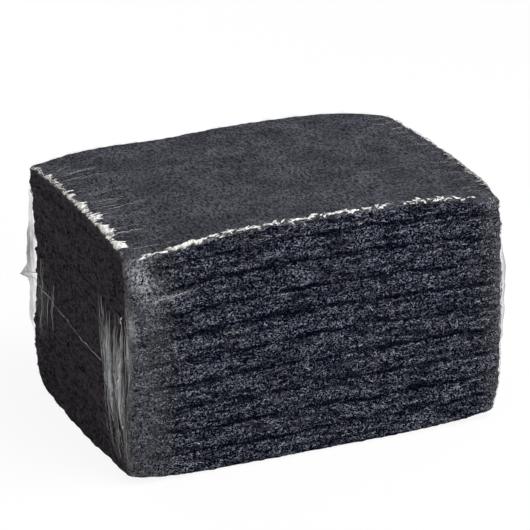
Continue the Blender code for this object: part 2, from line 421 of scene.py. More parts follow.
def strandMaterial(name, look):
    made, tree = newMaterial(name)
    grain = noiseNode(tree, placeNode(tree), look["grainScale"], 1.0)
    bands = addNode(tree, "Group", node_tree=fibreWeb).outputs["Bands"]
    share = times(tree, fieldNode(tree, "tone"), rangeNode(tree, grain, *look["grain"]))
    share = times(tree, share, rangeNode(tree, bands, *look["bands"]))
    showSurface(tree, addNode(tree, "BsdfPrincipled", {
        "Base Color": mixColour(tree, share, look["dark"], look["light"]),
        "Roughness": look["roughness"],
        "Specular IOR Level": 0.0,
    }))
    return made


# Pads
padLook = {
    "sideSpacing": 0.001,  # between points along the front and the back
    "endSpacing": 0.0015,
    "edgeSteps": 8,
    "rimSteps": 2,
    "rimRadius": 0.0006,  # flatter than the solids' under the film
    "capSteps": (12, 4, 34),  # over the base, inside and over the top
    "lumps": ((0.0036, 0.0003), (0.0017, 0.00022)),
    "swayDepth": 0.0003,
    "swaySize": 0.016,
    "jointShift": (-0.0003, -0.0008, -0.0008, -0.0002, 0.0003, 0.0008, 0.0004, 0.0018, 0.002),
    "jointWaves": ((0.02, 0.00038), (0.0055, 0.00022)),  # size and depth
    "waist": 0.0016,  # how far the film draws the back corners in
    "waistReach": (0.012, 0.57, 0.38),  # reach, then middle and half height as shares of the stack's
    "reach": 0.0003,  # how far the lumps may stand out under the film
    "strands": 2500,
    "endShare": 0.3,  # strands on the ends, to those on the front and back
    "topStrands": 2000,
    "strandDepth": (-0.00025, 0.00005),
    "strandArch": 0.0002,  # lift of a strand's middle, and the most that it may stand out
    "strandLength": (0.0007, 0.003),
    "strandLean": 0.7,
    "strandRadius": (0.00011, 0.00021),
    "strandTones": (0.7, 1.9),
    "clumpSize": 0.005,
    "jointStrandShade": 0.3,  # painted light from above: over 1, each pad is painted lightest above the middle of its thickness
    "lightAbove": 1.35,  # above 1 the lightest fibres lie over the middle
    "strandRings": 4,
    "curl": (0.0001, 0.00045),
    "topStrandShare": 0.8,  # length and thickness of the top's strands, to the others
    "topStrandDepth": (-0.0004, -0.0001),
    "topMargin": 0.003,
    "seed": 41,
}


def spreadAlong(spacingAt, samples=8000):
    # places round the outline, a chosen spacing apart
    spots = np.linspace(0, outlineLength, samples)
    pace = np.append(0, np.cumsum(1 / spacingAt(spots[:-1])))
    count = int(round(pace[-1] * (spots[1] - spots[0])))
    return np.interp(np.linspace(0, pace[-1], count, endpoint=False), pace, spots)


def padSpacing(along):
    onEnd = np.abs(outlineAt(along)[1][:, 0]) > 0.5
    return np.where(onEnd, padLook["endSpacing"], padLook["sideSpacing"])


def drawAlong(draw, count, samples=4000):
    # random places round the outline, fewer on the ends
    spots = np.linspace(0, outlineLength, samples)
    weight = np.where(np.abs(outlineAt(spots)[1][:, 0]) > 0.7, padLook["endShare"], 1.0)
    total = np.append(0, np.cumsum(weight[:-1]))
    return np.interp(draw.uniform(0, total[-1], (count, 1)), total, spots)


def jointWave(joint, plan):
    # how far a joint between two pads has settled, and how it wanders up and down
    if joint in (0, len(padNames)):
        return 0.0
    place = padLook["jointShift"][joint - 1]
    for size, depth in padLook["jointWaves"]:
        place += depth * waveNoise(withHeight(plan, joint * 0.37), size, padLook["seed"] + joint, 14)
    return place


def padHeights(number, plan, share):
    # height in the relaxed stack of a point that lies at this share of the pad's thickness
    low = (number - 1) * padRise + jointWave(number - 1, plan)
    high = number * padRise - stack["clearance"] + jointWave(number, plan)
    return low + share * (high - low)


def waistAt(points):
    x, y, height = np.moveaxis(points, -1, 0)
    reach, middle, half = padLook["waistReach"]
    away = clamp(np.abs(height - middle * stackHeight) / (half * stackHeight))
    return padLook["waist"] * nearCorner(x, y, reach) * np.cos(quarter * away) ** 2


def roughness(spots):
    return sum(depth * waveNoise(spots, size, padLook["seed"] + 90 + order)
               for order, (size, depth) in enumerate(padLook["lumps"]))


def rimsOf(number):
    # radii of a pad's lower and upper rims: the outermost two follow the film
    low = stack["footRim"] if number == 1 else padLook["rimRadius"]
    return low, stack["rimRadius"] if number == len(padNames) else padLook["rimRadius"]


def paintedLightOf(share):
    # painted light and shade: 0 at the joints above and below a pad, painted as shade, and 1 where the
    # painted light from above is strongest
    shifted = clamp(share) ** padLook["lightAbove"]
    return 4 * shifted * (1 - shifted)


def padBody(number):
    look = padLook
    isTop = number == len(padNames)
    capSteps = look["capSteps"][0 if number == 1 else 2 if isTop else 1]
    profile = slabProfile(0.0, padThick, rimsOf(number), look["rimSteps"], look["edgeSteps"], capSteps)
    grid, outward = slabGrid(spreadAlong(padSpacing), profile, stack["cornerRadius"])
    facing = np.abs(outward[..., 0])
    onEnd = ramp(facing, 0.5, 0.9)
    share = grid[..., 2] / padThick
    share += (share - 0.5) * (0.02 + 0.01 * onEnd)
    grid += outward * (0.8 * onEnd * profile[1][:, None])[..., None]  # the ends' rims stay square
    spots = grid + [0, 0, number * padRise]
    sway = look["swayDepth"] * waveNoise(spots * [1, 1, 0.2], look["swaySize"], look["seed"] + number)
    level = np.linalg.norm(outward[..., :2], axis=-1)
    rough = roughness(spots) * (1 - 0.4 * onEnd) + clamp(sway, -1, 0) * level
    height = (number - 1) * padRise + grid[..., 2]
    push = clamp(rough, -1, look["reach"]) + softSwell(withHeight(grid[..., :2], height))
    plan = (grid + outward * push[..., None])[..., :2]
    plan -= outward[..., :2] * waistAt(withHeight(plan, height))[..., None]
    grid = withHeight(plan, padHeights(number, plan, share))
    onTop = clamp(np.sin(profile[3]) * 1.4 - 0.4)[:, None] * isTop
    shape = share.shape
    fields = {
        "tone": withPoles(0.0, shape),
        # painted light and shade across each pad's thickness, carried in the swell field
        "swell": withPoles(paintedLightOf(share) * level, shape),
        "endFace": withPoles(ramp(facing, 0.35, 0.8), shape),
        "topFace": withPoles(onTop, shape, isTop),
    }
    return closeRings(settled(grid)), ringFaces(*shape), fields


def rimRecess(share, rims):
    # how far the rounded cut edge falls back at this share of the thickness
    recess = 0
    for rim, fromRim in zip(rims, (share * padThick, (1 - share) * padThick)):
        inside = clamp(rim - fromRim, 0, rim)
        recess += rim - np.sqrt(rim ** 2 - inside ** 2)
    return recess


def thinTubes(paths, outward, radius, flatness):
    # three-sided closed tubes along many short paths at once, thickest in the middle
    count, rings = paths.shape[:2]
    heading = unit(np.gradient(paths, axis=1))
    side = unit(np.cross(heading, outward))
    rise = np.cross(side, heading)
    taper = 1 - 0.6 * np.abs(np.linspace(-1, 1, rings)) ** 3
    wide = (np.reshape(radius, (-1, 1)) * taper)[..., None]
    corners = [paths + wide * (math.cos(turn) * side + flatness * math.sin(turn) * rise)
               for turn in (math.pi / 2, math.pi * 7 / 6, math.pi * 11 / 6)]
    last = (rings - 1) * 3
    base = (np.arange(count) * rings * 3)[:, None, None]
    quads = (base + np.array(ringQuads(rings, 3))).reshape(-1, 4).tolist()
    ends = (base + np.array([(2, 1, 0), (last, last + 1, last + 2)])).reshape(-1, 3).tolist()
    return np.stack(corners, 2).reshape(-1, 3), quads + ends


def edgeStrands(number):
    # curly fibres that lie along the cut edges of one pad
    look = padLook
    draw = np.random.default_rng(look["seed"] * 100 + number)
    count, rings = look["strands"], look["strandRings"]
    each = (count, 1)
    step = np.linspace(-0.5, 0.5, rings)
    length = look["strandLength"][0] + np.diff(look["strandLength"]) * draw.beta(1.3, 2.2, each)
    lean = draw.normal(0, look["strandLean"], each)
    curl = draw.uniform(*look["curl"], each)
    turns = draw.uniform(0.4, 1.1, each)
    bend = np.sin(2 * math.pi * turns * step + draw.uniform(0, 2 * math.pi, each))
    along = drawAlong(draw, count) + step * length * np.cos(lean) - bend * curl * np.sin(lean)
    rise = draw.uniform(0.0, 1.0, each) * padThick + step * length * np.sin(lean) + bend * curl * np.cos(lean)
    share = clamp(rise / padThick, 0.15 if number == 1 else -0.06, 0.85 if number == len(padNames) else 1.06)
    depth = draw.uniform(*look["strandDepth"], each) + look["strandArch"] * np.cos(math.pi * step)
    centre, facing = outlineAt(along)
    spots = withHeight(centre + facing * stack["cornerRadius"], rise + number * padRise)
    depth = clamp(depth + clamp(roughness(spots), -1, look["reach"]), -1, look["strandArch"])
    recess = rimRecess(clamp(share, 0.02, 0.98), rimsOf(number))
    plan = centre + facing * (stack["cornerRadius"] + depth - recess)[..., None]
    height = padHeights(number, plan, share)
    points = withHeight(plan, height)
    plan += facing * (softSwell(points) - waistAt(points))[..., None]
    paths = settled(withHeight(plan, height))
    middle = rings // 2
    clump = ramp(waveNoise(paths[:, middle] * [1, 1, 2.2], look["clumpSize"], look["seed"] + 7), -1.0, 1.0)
    # painted shade: strands are darker near the joints between pads; on the ends they are darker partly as
    # painted shade and partly for the calmer felt
    tone = draw.beta(*look["strandTones"], count) * (0.35 + clump) * (1 - 0.85 * np.abs(facing[:, middle, 0]))
    nearJoint = 1 - ramp(paintedLightOf(share[:, middle]), 0.0, 0.6)
    tone = clamp(tone * (1 - (1 - look["jointStrandShade"]) * nearJoint))
    return paths, withHeight(facing, 0.0), draw.uniform(*look["strandRadius"], count), {"tone": tone}


def topStrands():
    # fibres that lie flat on the top of the stack
    look = padLook
    draw = np.random.default_rng(look["seed"] * 7)
    count = look["topStrands"]
    each = (count, 1)
    step = np.linspace(-0.5, 0.5, look["strandRings"])
    length = draw.uniform(*look["strandLength"], each) * look["topStrandShare"]
    turn = draw.uniform(0, 2 * math.pi, each)
    bend = np.sin(2 * math.pi * draw.uniform(0.5, 1.2, each) * step + draw.uniform(0, 6, each))
    bend *= draw.uniform(*look["curl"], each)
    ahead, aside = step * length, np.array([halfLength, halfWidth]) - look["topMargin"]
    x = draw.uniform(-1, 1, each) * aside[0] + ahead * np.cos(turn) - bend * np.sin(turn)
    y = draw.uniform(-1, 1, each) * aside[1] + ahead * np.sin(turn) + bend * np.cos(turn)
    depth = draw.uniform(*look["topStrandDepth"], each) + 0.5 * look["strandArch"] * np.cos(math.pi * step)
    radius = draw.uniform(*look["strandRadius"], count) * look["topStrandShare"]
    tone = 0.04 + 0.5 * draw.beta(1.0, 2.6, count)
    paths = settled(np.stack([x, y, stackHeight + depth], -1))
    return paths, np.broadcast_to([0.0, 0.0, 1.0], paths.shape), radius, {"tone": tone}


def joinedMesh(name, points, faces, fields, sets, materials, flatness=1.0):
    # a body and its thin tubes in one mesh, with the tubes on the last material
    bodyCount, start = len(faces), len(points)
    pointSets = [points]
    values = {field: [found] for field, found in fields.items()}
    for paths, outward, radius, given in sets:
        tubePoints, tubeFaces = thinTubes(paths, outward, radius, flatness)
        faces += [tuple(index + start for index in face) for face in tubeFaces]
        start += len(tubePoints)
        pointSets.append(tubePoints)
        for field, parts in values.items():
            found = np.broadcast_to(given.get(field, 0.0), len(paths))
            parts.append(np.repeat(found, paths.shape[1] * 3))
    made = newObject(name, np.concatenate(pointSets), faces)
    for field, parts in values.items():
        made.data.attributes.new(field, "FLOAT", "POINT").data.foreach_set("value", np.concatenate(parts))
    for material in materials:
        made.data.materials.append(material)
    slots = np.zeros(len(faces), dtype=np.int32)
    slots[bodyCount:] = len(materials) - 1
    made.data.polygons.foreach_set("material_index", slots)
    return made


def makePad(number, name, materials):
    sets = [edgeStrands(number)]
    if number == len(padNames):
        sets.append(topStrands())
    made = joinedMesh(name + "_fibre", *padBody(number), sets, materials)
    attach(made, "root")
    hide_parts(name)


padMaterials = (matMaterial("matBlackFibre", fibreLook), strandMaterial("looseFibre", strandLook))
for padNumber, padName in enumerate(padNames, start=1):
    makePad(padNumber, padName, padMaterials)
print("pads:", len(padNames), "stacked")

# Film
filmLook = {
    "sideSpacing": 0.001,
    "endSpacing": 0.0012,
    "gatherSpacing": 0.0004,
    "gatherZone": 0.038,
    "steps": (8, 64, 10),  # round a rim, up the wall and over a cap
    "sag": 0.0002,
    "lumps": ((0.003, 0.0001), (0.0015, 0.00005)),  # size and depth
    "seamBelowMiddle": 0.002,
    "seamFall": 0.0088,
    "massHeight": 0.039,  # where the gathers are widest
    "rightRise": 0.011,  # how much higher they are on the right end
    "ribbedFrom": 0.002,  # folds wider than this are ribbed
    "ribSize": 0.0026,
    "foldDepth": 0.0013,
    "bubbles": ((-1, 0.068, 0.011, 0.0006), (1, 0.053, 0.029, 0.0006)),  # loose film along the front corners
    "bubbleFull": 0.001,  # how far a bubble stands out where it is whitest
    "flare": 0.0024,
    "flareRise": ((0.016, 0.027), (0.063, 0.073), (0.08, 0.09)),  # heights where it begins and ends
    "flareWaist": (0.04, 0.048, 0.32),  # between these heights it grows by this share
    "earLength": 0.0036,
    "earHeights": (0.0015, 0.0055),  # of the ear, below and above the seam
    "ventRadius": 0.0015,
    "ventSpacing": 0.07,
    "ventAboveSeam": 0.0215,
    "seed": 17,
}
filmRim = stack["rimRadius"] + stack["skinOffset"]
filmCorner = stack["cornerRadius"] + stack["skinOffset"]
rimArc = filmRim * quarter
wallTop = stackHeight + stack["skinOffset"] - filmRim  # where the upright film turns into the top rim


def filmDraw(order):
    return np.random.default_rng(filmLook["seed"] * order)


def seamHeight(y):
    drop = clamp((flatY - y) / (2 * flatY)) * filmLook["seamFall"]
    return stackHeight / 2 - filmLook["seamBelowMiddle"] - drop


def filmSpacing(along):
    centre, facing = outlineAt(along)
    onEnd = np.abs(facing[:, 0]) > 0.2
    nearFront = centre[:, 1] + flatY < filmLook["gatherZone"]
    plain = np.where(onEnd, filmLook["endSpacing"], filmLook["sideSpacing"])
    return np.where(onEnd & nearFront, filmLook["gatherSpacing"], plain)


def filmLumps(points):
    # the film follows the sides' slow unevenness, and the fibres under it
    return softSwell(points) + sum(depth * waveNoise(points, size, filmLook["seed"] + 60 + order)
                                   for order, (size, depth) in enumerate(filmLook["lumps"]))


# The folds at the front of the left end, in millimetres: how far from the corner each is at its top, at mid
# height and at its foot, the heights of its top and foot, its half width and its strength.
foldTable = np.array([
    (20.6, 17.8, 12.8, 62, 17, 4.3, 0.95), (9.4, 8.2, 3.6, 58, 15, 4.2, 0.95),
    (1.3, 1.2, 1.2, 66, 42, 2.1, 0.75), (28.8, 25.4, 19.5, 66, 12, 0.5, 0.5),
    (12.4, 12.2, 12.0, 66, 38, 1.6, 0.85), (25.6, 23.2, 17.0, 66, 12, 0.5, 0.45),
    (6.4, 6.6, 6.8, 66, 38, 2.8, 0.85), (22.5, 21.6, 15.0, 62, 11, 0.6, 0.45),
    (5.2, 4.4, 1.4, 60, 11, 0.6, 0.5), (14.0, 13.2, 8.8, 48, 10, 0.6, 0.55)])
backTable = foldTable[[0, 3, 5, 7, 9]] * (0.7, 0.7, 0.7, 1, 1, 0.5, 0.6)  # closer and smaller at the back


def foldSet(table, jitter, seed, rise=0.0):
    # the folds of one corner, each with its own places, size and slow waver
    draw = np.random.default_rng(seed)
    count = len(table)
    moved = table[:, :5] / 1000 + jitter * draw.normal(size=(count, 5))
    waves, phases = draw.uniform(90, 220, count), draw.uniform(0, 6, count)
    return [{"spots": np.maximum(spots[:3], 0.0), "top": spots[3] + rise, "foot": spots[4] + rise,
             "middle": filmLook["massHeight"] + rise, "width": width / 1000, "strength": strength,
             "wave": wave, "phase": phase}
            for spots, (width, strength), wave, phase in zip(moved, table[:, 5:], waves, phases)]


def foldLine(fold, height):
    # how far from the corner one fold is at this height: the folds fan out upward from the foot
    top, middle, foot = fold["spots"]
    heights = 0.0, fold["foot"], fold["middle"], fold["top"]
    line = np.interp(height, heights, (0.25 * foot, foot, middle, top))
    return line + 0.0004 * np.sin(height * fold["wave"] + fold["phase"])


def foldField(fromCorner, height, folds):
    # how strong the folds are here, and how much of that is the broad smooth ones
    shape = np.broadcast(fromCorner, height).shape
    field, broadField = np.zeros(shape), np.zeros(shape)
    for fold in folds:
        foot, top = fold["foot"], fold["top"]
        reach = 0.15 * ramp(height, 0.002, 0.008) + 0.85 * ramp(height, foot, foot + 0.014)
        reach *= 1 - ramp(height, top - 0.009, top)
        half = fold["width"] * (0.3 + 0.7 * hump(height, fold["middle"], 0.013))
        fromLine = fromCorner - foldLine(fold, height)
        ridge = fold["strength"] * reach * np.exp(-np.abs(fromLine / half) ** 3)
        if fold["width"] > filmLook["ribbedFrom"]:
            broadField = np.maximum(broadField, ridge)
            spots = np.stack(np.broadcast_arrays(fromLine, 0.05 * height), -1)
            ridge *= clamp(0.8 + 0.4 * waveNoise(spots, filmLook["ribSize"], 5, 12), 0.35, 1.2)
        field = np.maximum(field, ridge)
    return np.stack([field, broadField])


frontFolds = {-1: foldSet(foldTable, 0.0, filmLook["seed"]),
              1: foldSet(foldTable, 0.0012, filmLook["seed"] + 1, filmLook["rightRise"])}
backFolds = {side: foldSet(backTable, 0.001, filmLook["seed"] + 5 + side) for side in (-1, 1)}


def filmSwell(centre, facing, height):
    # how far the film stands out from the plain skin, and where it is gathered or loose
    look = filmLook
    aside, ahead = np.abs(facing[..., 0]), np.abs(facing[..., 1])
    fromFront = centre[..., 1] + flatY
    aroundCorner = stack["cornerRadius"] * (math.pi / 4 - np.arctan2(ahead, aside))
    folds = 0
    for side in (-1, 1):
        here = (aside > 0.5) & (facing[..., 0] * side > 0)
        folds += here * foldField(fromFront + aroundCorner, height, frontFolds[side])
        folds += here * 0.5 * foldField(2 * flatY - fromFront + aroundCorner, height, backFolds[side])
    sag = look["sag"] * (0.5 + 0.5 * np.cos(2 * math.pi * height / padRise)) * (ahead > 0.95)
    atCorner = 2 * aside * ahead
    backCorner = atCorner * (fromFront > 2 * flatY - 0.001)
    frontCorner = atCorner * (fromFront < 0.001)
    lowRise, middleFall, highFall = look["flareRise"]
    low, high, growth = look["flareWaist"]
    lens = 0.6 * (1 - ramp(height, *middleFall)) + 0.4 * (1 - ramp(height, *highFall))
    lens *= ramp(height, *lowRise) * (1 - growth + growth * ramp(height, low, high))
    flare = lens * backCorner ** 1.5
    fromSeam = height - seamHeight(flatY)
    below, above = look["earHeights"]
    point = clamp(1 - np.where(fromSeam > 0, fromSeam / above, -fromSeam / below))
    bubble = 0
    for side, middle, half, depth in look["bubbles"]:
        lens = np.cos(quarter * clamp(np.abs(height - middle) / half)) ** 1.5
        bubble += (facing[..., 0] * side > 0) * frontCorner * lens * depth
    out = look["foldDepth"] * folds[0] + look["flare"] * flare + bubble - sag
    return out + look["earLength"] * point * backCorner ** 4, folds, flare, clamp(bubble / look["bubbleFull"])


def filmPoint(along, climb):
    # Places on the film and the directions out of it. Climb is measured up the wall to the top rim, then
    # over it and inward.
    centre, facing = outlineAt(along)
    angle = clamp(climb / filmRim, 0, quarter)
    plan = centre + facing * (filmCorner - filmRim * (1 - np.cos(angle)) - clamp(climb - rimArc))[..., None]
    height = wallTop + np.minimum(climb, 0) + filmRim * np.sin(angle)
    relaxed = withHeight(plan, height)
    out = filmSwell(centre, facing, height)[0] * (climb <= 0) + filmLumps(relaxed)
    outward = withHeight(facing * np.cos(angle)[..., None], np.sin(angle))
    return settled(relaxed) + outward * out[..., None], outward


def crease(draw, start, end, wander=0.0, rings=7):
    # paths over the film from start to end, both given as places along the outline and places up the film
    step = np.linspace(0, 1, rings)
    each = (len(start[0]), 1)
    along, climb = (low[:, None] + (high - low)[:, None] * step for low, high in zip(start, end))
    drift = np.reshape(wander, (-1, 1)) * np.sin(math.pi * step)
    drift = drift * np.sin(draw.uniform(3, 9, each) * step + draw.uniform(0, 6, each))
    return filmPoint(along + drift, climb)


def strokes(places, radius, milkAndHighlight, cover, flap=0.0):
    # thin tubes on the film, with the values that its material reads
    return *places, radius, {"milkAndHighlight": milkAndHighlight, "cover": cover, "flap": flap}


frontLeft = 0.0  # places of the corners along the outline
frontRight = outlineStops[1]
rightEnd = (outlineStops[2], outlineStops[3])  # from the front to the back
leftEnd = (outlineStops[6], outlineStops[7])  # from the back to the front

lineLook = {
    "rims": ((160, 0.24), (300, 1.0)),  # painted highlight streaks, also whitened creases, over the right and the left rim: how many, and how white
    "rimLength": (0.0014, 0.006),
    "rimRadius": (0.00016, 0.00066),
    "edge": ((110, 0.022, 0.64, 0.004, 0.00041), (26, 0.105, 0.178, 0.0034, 0.0012),
             (60, 0.55, 0.965, 0.0024, 0.00042)),  # painted highlights along the front's top edge: how many, from and to which share, longest and broadest
    "stretch": ((66, 0.95, 0.01), (46, 1.0, 0.018)),  # lines over the top: number, clearness and length
    "stretchRadius": (0.00012, 0.00018),
    "seamEnds": (0.03, 0.0258),  # how far from the front corners the seam begins and ends
    "seamPieces": 150,
    "seamRadius": 0.00026,
    "seamWaver": 0.00012,
    "fan": (0.0288, 0.0256, 0.0238, 0.0218, 0.0186, 0.0135, 0.0108, 0.0071, 0.0034),  # lines up the folds
    "fanHeights": (0.036, 0.064, 0.069),  # of their foot, and of their tops
    "cross": ((0.008, 0.0245, 0.04), (0.011, 0.022, 0.033)),  # level lines: from, to and height
    "feet": ((0.025, 0.0195, 0.043, 0.02, 0.6), (0.0235, 0.018, 0.04, 0.019, 0.6),
             (0.0219, 0.006, 0.031, 0.0105, 0.4), (0.0125, 0.003, 0.026, 0.0085, 0.35),
             (0.0088, 0.002, 0.03, 0.011, 0.4),
             (0.016, 0.008, 0.03, 0.011, 0.3)),  # slanted ones: from, to, two heights and tone
    # painted highlights on the gathers: distance from the corner and height
    "paintedGlints": ((0.0056, 0.0685), (0.0078, 0.0655), (0.0085, 0.0415), (0.0074, 0.0405), (0.0046, 0.0215)),
    "crestRadius": (0.0001, 0.0002),
    "crossStroke": (0.00014, 0.4),  # radius and tone
    "paintedGlintStroke": (0.00045, 1.0),
    "backLines": 14,
    "backRadius": (0.0001, 0.00017),
    "backTone": (0.15, 0.42),
    "ventStroke": (0.0002, 0.5, 0.8),  # radius, whiteness and cover
    "creaseRadius": (0.00007, 0.0002),
    "creases": ((9, 0.3), (7, 0.25)),  # at the front's upper corners: how many, and how clear
    "plain": ((0.006, 0.0762, 0.0225, 0.077, 0.00022), (0.019, 0.048, 0.025, 0.0445, 0.00016),
              (0.0000, 0.0928, 0.0125, 0.0778, 0.00016), (0.0000, 0.0818, 0.0042, 0.075, 0.00014)),
}


def rimStreaks():
    # short broad creases over the top rim of both ends, densest near the front corners, white as painted
    # highlights, most of all on the left rim
    draw = filmDraw(11)
    for (front, back), (count, white) in zip((rightEnd, leftEnd[::-1]), lineLook["rims"]):
        share = 0.94 * draw.beta(1.45, 0.95, count)
        spot = back + (front - back) * share
        dense = 0.45 + 0.55 * ramp(waveNoise(spot[:, None], 0.012, 8), -0.8, 0.6)
        begin = rimArc * draw.uniform(0.34, 0.62, count)
        length = draw.uniform(*lineLook["rimLength"], count) * (0.3 + 0.7 * share) * dense
        slant = draw.normal(0.0003, 0.0004, count)
        wander = draw.uniform(0, 0.0002, count)
        places = crease(draw, (spot - slant, begin), (spot + slant, begin + length), wander)
        tone = clamp(draw.uniform(0.9, 1.0, count) * (0.92 + 0.15 * share)) * white
        radius = draw.uniform(*lineLook["rimRadius"], count) * (0.35 + 0.65 * share) * dense
        yield strokes(places, radius, tone, 0.5 + 0.5 * tone)


def paintedEdgeGlints():
    # a painted highlight, which also catches the lamps: the bright line along the top edge of the front, in
    # long overlapping lengths, a thick part near its left end, and dots on the right
    draw = filmDraw(37)
    for count, low, high, longest, broadest in lineLook["edge"]:
        spot = frontLeft + (frontRight - frontLeft) * draw.uniform(low, high, count)
        half = 0.5 * draw.uniform(0.25, 1.0, count) * longest
        climb = rimArc * 0.56 + 0.0004 * waveNoise(spot[:, None], 0.006, 5) + draw.normal(0, 0.00012, count)
        climb += 0.0003 * waveNoise(spot[:, None], 0.0022, 6)
        tilt = draw.normal(0, 0.0004, count)
        places = crease(draw, (spot - half, climb - tilt), (spot + half, climb + tilt), rings=5)
        radius = draw.uniform(0.45, 1.0, count) * broadest
        yield strokes(places, radius, draw.uniform(0.85, 1.0, count), 1.0)


def stretchLines():
    # long fine lines drawn inward over the top from both ends
    draw = filmDraw(13)
    for end, (count, strength, reach) in zip((rightEnd, leftEnd), lineLook["stretch"]):
        spot = draw.uniform(*end, count)
        begin = rimArc + draw.uniform(-0.002, 0.004, count)
        length = draw.uniform(0.28, 1.0, count) * reach
        slanted = spot + draw.normal(0, 0.0012, count)
        places = crease(draw, (spot, begin), (slanted, begin + length), draw.uniform(0, 0.0002, count), 20)
        tone = draw.beta(1.0, 2.6, count) * strength
        radius = draw.uniform(*lineLook["stretchRadius"], count)
        yield strokes(places, radius, 0.3 + 0.3 * tone, 0.04 + 0.42 * tone)


def seamLine():
    # the weld: a thin bead round both ends and the back, in short lengths
    draw = filmDraw(19)
    count = lineLook["seamPieces"]
    begin, end = lineLook["seamEnds"]
    stops = np.linspace(rightEnd[0] + begin, leftEnd[1] - end, count + 1)
    climb = seamHeight(outlineAt(stops)[0][:, 1]) - wallTop + draw.normal(0, lineLook["seamWaver"], count + 1)
    places = crease(draw, (stops[:-1], climb[:-1]), (stops[1:], climb[1:]), rings=3)
    tone = draw.uniform(0.35, 0.8, count)
    yield strokes(places, lineLook["seamRadius"], 0.8 * tone, 0.3 + 0.6 * tone)


def endLines(spots, heights, radius, tone, sides=(1, -1)):
    # thin lines over the ends, one for each row of distances from the front corner
    corners = {1: rightEnd[0] - arcLength / 2, -1: leftEnd[1] + arcLength / 2}
    for side in sides:
        places = filmPoint(corners[side] + side * spots, heights - wallTop)
        yield strokes(places, radius, tone, 0.25 + 0.55 * tone, 0.5)


def gatherLines():
    # crests along the front folds, lines across them, painted glints on them, and fine upright lines near the
    # back corners
    draw = filmDraw(23)
    step = np.linspace(0, 1, 12)
    for side in (-1, 1):
        spots, heights = [], []
        for fold in frontFolds[side] * 2:
            top = fold["top"] - draw.uniform(-0.004, 0.012)
            foot = max(fold["foot"] - draw.uniform(0, 0.008), 0.003)
            height = foot + (top - foot) * step
            away = draw.uniform(-0.9, 0.9) * fold["width"]
            away *= 0.35 + 0.65 * hump(height, fold["middle"], 0.016)
            spots.append(foldLine(fold, height) + away)
            heights.append(height)
        low, *high = lineLook["fanHeights"]
        rise = frontFolds[side][0]["middle"] - filmLook["massHeight"]
        for spot in lineLook["fan"]:
            spots.append(spot * (0.86 + 0.14 * step) + 0.0002 * np.sin(7 * step + 900 * spot))
            heights.append(rise + low + (draw.uniform(*high) - low) * step)
        count, fanCount = len(spots), len(lineLook["fan"])
        tone = 0.1 + 0.6 * draw.beta(0.9, 2.0, count)
        tone[-fanCount:] = draw.uniform(0.4, 0.85, fanCount)
        radius = draw.uniform(*lineLook["crestRadius"], count)
        yield from endLines(clamp(np.array(spots), 0.0003, 1), np.array(heights), radius, tone, (side,))
    begin, end, level = np.array(lineLook["cross"]).T[..., None]
    heights = level + 0.0004 * np.sin(9 * step)
    yield from endLines(begin + (end - begin) * step, heights, *lineLook["crossStroke"])
    for begin, end, low, high, tone in lineLook["feet"]:
        spots, heights = begin + (end - begin) * step ** 1.3, low + (high - low) * step
        yield from endLines(spots[None], heights[None], 0.0001 + 0.00015 * tone, tone)
    # painted highlights: short white strokes where the gathers glint
    spots, heights = np.array(lineLook["paintedGlints"]).T[..., None]
    spots, heights = spots + 0.0008 * (step - 0.5), heights - 0.0018 * (step - 0.5)
    yield from endLines(spots, heights, *lineLook["paintedGlintStroke"])
    count = lineLook["backLines"]
    each = (count, 1)
    spots = 2 * flatY - draw.uniform(0.002, 0.022, each) + draw.normal(0, 0.0003, each) * step
    heights = draw.uniform(0.046, 0.06, each) - draw.uniform(0.008, 0.024, each) * step
    radius = draw.uniform(*lineLook["backRadius"], count)
    yield from endLines(spots, heights, radius, draw.uniform(*lineLook["backTone"], count))


def ventRings():
    # raised rings on the film where the two small vents in the back are; the film is not cut through
    turn = np.linspace(0, 2 * math.pi, 20)
    middles = (outlineStops[4] + outlineStops[5]) / 2 + np.array([[-1], [1]]) * filmLook["ventSpacing"] / 2
    along, climb = np.broadcast_arrays(
        middles + filmLook["ventRadius"] * np.cos(turn),
        seamHeight(flatY) + filmLook["ventAboveSeam"] - wallTop + filmLook["ventRadius"] * np.sin(turn))
    yield strokes(filmPoint(along, climb), *lineLook["ventStroke"])


def cornerCreases():
    # creases that fan out over the front from its upper corners
    draw = filmDraw(29)
    for corner, toward, (count, strength) in zip((frontLeft, frontRight), (1, -1), lineLook["creases"]):
        fall = draw.uniform(0.006, 0.04, count)
        run = toward * fall * draw.uniform(0.3, 0.65, count)
        spot = corner + toward * draw.uniform(0, 0.007, count)
        climb = -draw.uniform(0.0, 0.02, count)
        places = crease(draw, (spot, climb), (spot + run, climb - fall), draw.uniform(0, 0.0003, count), 8)
        tone = draw.beta(1.5, 2.0, count) * strength
        yield strokes(places, draw.uniform(*lineLook["creaseRadius"], count), tone, 0.15 + 0.6 * tone)
    fromSpot, fromHeight, toSpot, toHeight, radius = np.array(lineLook["plain"]).T
    places = crease(draw, (fromSpot, fromHeight - wallTop), (toSpot, toHeight - wallTop), 0.0001, 10)
    yield strokes(places, radius, 0.45, 0.5)


hazeLook = {
    "left": (0.002, 0.022, 0.42),  # between which distances from the left it fades, and its strength
    "right": (0.007, 0.4),
    "patch": (0.0055, 0.0042, 0.95),  # a slanted patch at the upper left
    "patchHeight": (0.0865, 0.0095),
    "patchSlant": (0.088, 0.34),  # below this height it lies further right by this share of the way
    "stroke": (0.019, 0.008, 0.85),
    "strokeHeight": (0.0768, 0.0013),
    "mass": (0.012, 0.01, 0.12),  # a veil over the widest part of the gathers
    "massHeight": (0.038, 0.016),
}


